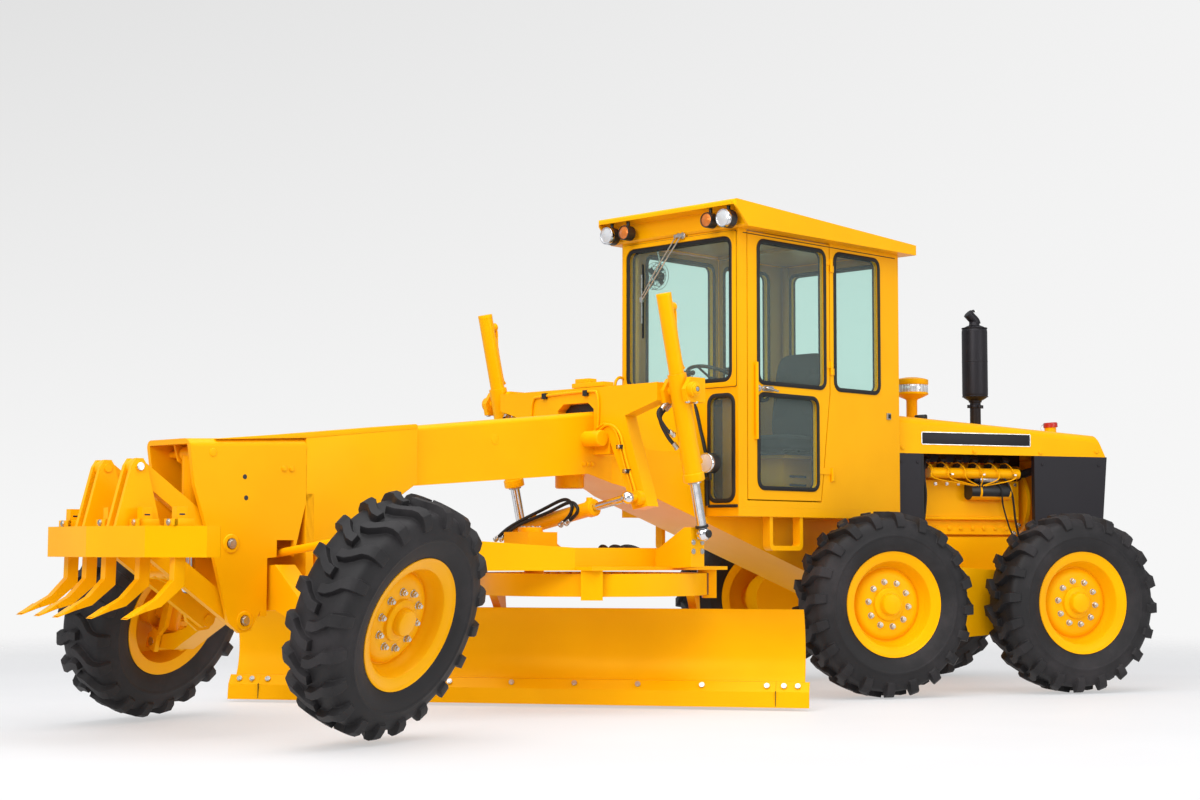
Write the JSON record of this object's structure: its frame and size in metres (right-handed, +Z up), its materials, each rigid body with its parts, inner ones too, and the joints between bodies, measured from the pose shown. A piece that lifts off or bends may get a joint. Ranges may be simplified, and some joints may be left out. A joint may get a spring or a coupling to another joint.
{
  "type": "motor grader",
  "caption": "Articulated motor grader with leaned front wheels, a tandem rear drive, a side-shifting blade on a turning circle, a front scarifier and an enclosed cab.",
  "frame": {"origin": "middle of the footprint's box on the ground", "axes": "+X forward along the rear unit, +Y to its left, +Z up; the front unit is turned left about the articulation pin"},
  "size_m": [7.9996, 4.846, 3.218],
  "materials": {
    "yellow_paint": "satin",
    "black_paint": "satin",
    "tyre": "matte",
    "glass": "gloss",
    "rod_chrome": "polished",
    "seat_cloth": "matte",
    "lamp_plastic": "gloss"
  },
  "bodies": {
    "rear_unit": {"rear_frame": "yellow_paint", "tandem_cases": "yellow_paint", "hood": "yellow_paint", "side_panels": "black_paint", "rear_grille": "black_paint", "engine": "yellow_paint", "exhaust": "black_paint", "precleaner": "yellow_paint"},
    "front_unit": {"front_frame": "yellow_paint", "saddle": "yellow_paint", "front_axle": "yellow_paint", "cab_floor": "yellow_paint", "cab_front_wall": "yellow_paint", "cab_rear_wall": "yellow_paint", "cab_sides": "yellow_paint", "cab_roof": "yellow_paint", "cab_glass": "glass", "seat": "seat_cloth", "console": "yellow_paint", "lamps": "lamp_plastic", "steps": "yellow_paint"},
    "wheel_mid_left": {"tyre_mid_left": "tyre", "rim_mid_left": "yellow_paint"},
    "wheel_rear_left": {"tyre_rear_left": "tyre", "rim_rear_left": "yellow_paint"},
    "wheel_mid_right": {"tyre_mid_right": "tyre", "rim_mid_right": "yellow_paint"},
    "wheel_rear_right": {"tyre_rear_right": "tyre", "rim_rear_right": "yellow_paint"},
    "lean_left": {"lean_bracket_left": "yellow_paint"},
    "steer_left": {"knuckle_left": "yellow_paint"},
    "wheel_front_left": {"tyre_front_left": "tyre", "rim_front_left": "yellow_paint"},
    "lean_right": {"lean_bracket_right": "yellow_paint"},
    "steer_right": {"knuckle_right": "yellow_paint"},
    "wheel_front_right": {"tyre_front_right": "tyre", "rim_front_right": "yellow_paint"},
    "lean_bar": {"lean_bar": "yellow_paint"},
    "door_left": {"door_left": "yellow_paint", "door_glass_left": "glass"},
    "door_right": {"door_right": "yellow_paint", "door_glass_right": "glass"},
    "drawbar": {"drawbar": "yellow_paint"},
    "circle": {"circle": "yellow_paint"},
    "blade_bracket": {"blade_bracket": "yellow_paint"},
    "blade": {"mouldboard": "yellow_paint", "cutting_edge": "yellow_paint"},
    "lift_barrel_left": {"lift_barrel_left": "yellow_paint"},
    "lift_rod_left": {"lift_rod_left": "rod_chrome"},
    "lift_barrel_right": {"lift_barrel_right": "yellow_paint"},
    "lift_rod_right": {"lift_rod_right": "rod_chrome"},
    "shift_rod": {"shift_rod": "rod_chrome"},
    "shift_barrel": {"shift_barrel": "yellow_paint"},
    "scarifier_arms": {"scarifier_arms": "yellow_paint"},
    "scarifier": {"scarifier": "yellow_paint"},
    "scarifier_links": {"scarifier_links": "yellow_paint"},
    "scarifier_barrel": {"scarifier_barrel": "yellow_paint"},
    "scarifier_rod": {"scarifier_rod": "rod_chrome"}
  },
  "joints": [
    {"name": "articulation", "type": "hinge", "parent": "rear_unit", "child": "front_unit", "pos_m": [-1.95479, -1.23905, 0.82894], "axis": [0, 0, 1], "range_deg": [-49.6, 0.4]},
    {"name": "spin_mid_left", "type": "hinge", "parent": "rear_unit", "child": "wheel_mid_left", "pos_m": [-1.65479, -0.23205, 0.62094], "axis": [0, 1, 0], "continuous": true},
    {"name": "spin_rear_left", "type": "hinge", "parent": "rear_unit", "child": "wheel_rear_left", "pos_m": [-3.11979, -0.23205, 0.62094], "axis": [0, 1, 0], "continuous": true},
    {"name": "spin_mid_right", "type": "hinge", "parent": "rear_unit", "child": "wheel_mid_right", "pos_m": [-1.65479, -2.24605, 0.62094], "axis": [0, 1, 0], "continuous": true},
    {"name": "spin_rear_right", "type": "hinge", "parent": "rear_unit", "child": "wheel_rear_right", "pos_m": [-3.11979, -2.24605, 0.62094], "axis": [0, 1, 0], "continuous": true},
    {"name": "lean_left", "type": "hinge", "parent": "front_unit", "child": "lean_left", "pos_m": [2.37569, 1.74589, 0.53263], "axis": [0.9092, 0.4163, 0], "range_deg": [-0.5, 43.5]},
    {"name": "steer_left", "type": "hinge", "parent": "lean_left", "child": "steer_left", "pos_m": [2.3539, 1.7935, 0.68381], "axis": [-0.1362, 0.2975, 0.9449], "range_deg": [-49.5, 22.5]},
    {"name": "spin_front_left", "type": "hinge", "parent": "steer_left", "child": "wheel_front_left", "pos_m": [2.2849, 1.87913, 0.6469], "axis": [-0.5947, 0.7383, -0.3182], "continuous": true},
    {"name": "lean_right", "type": "hinge", "parent": "front_unit", "child": "lean_right", "pos_m": [3.12434, 0.1107, 0.4573], "axis": [0.9092, 0.4163, 0], "range_deg": [-0.5, 43.5]},
    {"name": "steer_right", "type": "hinge", "parent": "lean_right", "child": "steer_right", "pos_m": [3.10254, 0.1583, 0.6085], "axis": [-0.1362, 0.2975, 0.9449], "range_deg": [-49.5, 22.5]},
    {"name": "spin_front_right", "type": "hinge", "parent": "steer_right", "child": "wheel_front_right", "pos_m": [3.17153, 0.07267, 0.64541], "axis": [-0.5947, 0.7383, -0.3182], "continuous": true},
    {"name": "lean_bar", "type": "hinge", "parent": "lean_left", "child": "lean_bar", "pos_m": [2.34718, 1.74811, 1.04637], "axis": [0.9092, 0.4163, 0], "range_deg": [-52.5, 0.9]},
    {"name": "door_left", "type": "hinge", "parent": "front_unit", "child": "door_left", "pos_m": [-1.35711, -0.3825, 2.20394], "axis": [0, 0, 1], "range_deg": [0, 90]},
    {"name": "door_right", "type": "hinge", "parent": "front_unit", "child": "door_right", "pos_m": [-0.91585, -1.34629, 2.20394], "axis": [0, 0, -1], "range_deg": [0, 90]},
    {"name": "drawbar_raise", "type": "hinge", "parent": "front_unit", "child": "drawbar", "pos_m": [2.4641, 0.78408, 0.95394], "axis": [-0.4163, 0.9092, 0], "range_deg": [0, 6.2]},
    {"name": "circle_turn", "type": "hinge", "parent": "drawbar", "child": "circle", "pos_m": [0.45469, -0.1359, 0.69894], "axis": [0, 0, 1], "range_deg": [-82.5, 13.5]},
    {"name": "blade_pitch", "type": "hinge", "parent": "circle", "child": "blade_bracket", "pos_m": [0.35968, -0.29464, 0.16894], "axis": [-0.8581, 0.5135, 0], "range_deg": [-5, 25]},
    {"name": "blade_shift", "type": "slide", "parent": "blade_bracket", "child": "blade", "axis": [-0.8581, 0.5135, 0], "range_m": [-0.16, 1.16]},
    {"name": "lift_swing_left", "type": "hinge", "parent": "front_unit", "child": "lift_barrel_left", "pos_m": [0.17622, 0.61646, 1.93394], "axis": [-0.4163, 0.9092, 0], "range_deg": [-0.2, 3.31]},
    {"name": "lift_stroke_left", "type": "slide", "parent": "lift_barrel_left", "child": "lift_rod_left", "axis": [-0.2157, -0.0987, -0.9715], "range_m": [-0.2541, 0.002]},
    {"name": "lift_swing_right", "type": "hinge", "parent": "front_unit", "child": "lift_barrel_right", "pos_m": [0.84227, -0.83831, 1.93394], "axis": [-0.4163, 0.9092, 0], "range_deg": [-0.2, 3.31]},
    {"name": "lift_stroke_right", "type": "slide", "parent": "lift_barrel_right", "child": "lift_rod_right", "axis": [-0.2157, -0.0987, -0.9715], "range_m": [-0.2541, 0.002]},
    {"name": "shift_swing", "type": "hinge", "parent": "front_unit", "child": "shift_rod", "pos_m": [0.45797, 0.4815, 1.28894], "axis": [-0.8926, -0.4343, 0.1211], "range_deg": [-0.2, 12.65]},
    {"name": "shift_stroke", "type": "slide", "parent": "shift_rod", "child": "shift_barrel", "axis": [0.4088, -0.8928, -0.1892], "range_m": [-0.0229, 0.002]},
    {"name": "scarifier_drop", "type": "hinge", "parent": "front_unit", "child": "scarifier_arms", "pos_m": [2.96418, 1.01303, 0.60394], "axis": [-0.4163, 0.9092, 0], "range_deg": [-5, 54.6]},
    {"name": "scarifier_level", "type": "hinge", "parent": "scarifier_arms", "child": "scarifier", "pos_m": [3.46426, 1.24199, 0.98894], "axis": [-0.4163, 0.9092, 0], "range_deg": [-54.7, 5.1]},
    {"name": "scarifier_link", "type": "hinge", "parent": "front_unit", "child": "scarifier_links", "pos_m": [3.04601, 1.0505, 1.00394], "axis": [-0.4163, 0.9092, 0], "range_deg": [-5.1, 54.7]},
    {"name": "scarifier_swing", "type": "hinge", "parent": "front_unit", "child": "scarifier_barrel", "pos_m": [3.15512, 1.10045, 1.47394], "axis": [-0.4163, 0.9092, 0], "range_deg": [-4, 0.55]},
    {"name": "scarifier_stroke", "type": "slide", "parent": "scarifier_barrel", "child": "scarifier_rod", "axis": [-0.0131, -0.006, -0.9999], "range_m": [-0.0238, 0.2398]}
  ],
  "couplings": [
    {"joint": "lean_right", "follows": "lean_left", "ratio": 1},
    {"joint": "steer_right", "follows": "steer_left", "ratio": 1},
    {"joint": "lean_bar", "follows": "lean_left", "ratio": -1.2},
    {"joint": "lift_swing_left", "follows": "drawbar_raise", "ratio": 0.5009},
    {"joint": "lift_stroke_left", "follows": "drawbar_raise", "m_per_rad": -2.3295},
    {"joint": "lift_swing_right", "follows": "drawbar_raise", "ratio": 0.5009},
    {"joint": "lift_stroke_right", "follows": "drawbar_raise", "m_per_rad": -2.3295},
    {"joint": "shift_swing", "follows": "drawbar_raise", "ratio": 2.0076},
    {"joint": "shift_stroke", "follows": "drawbar_raise", "m_per_rad": -0.19327},
    {"joint": "scarifier_level", "follows": "scarifier_drop", "ratio": -1},
    {"joint": "scarifier_link", "follows": "scarifier_drop", "ratio": 1},
    {"joint": "scarifier_swing", "follows": "scarifier_drop", "ratio": -0.06968},
    {"joint": "scarifier_stroke", "follows": "scarifier_drop", "m_per_rad": 0.24958}
  ]
}
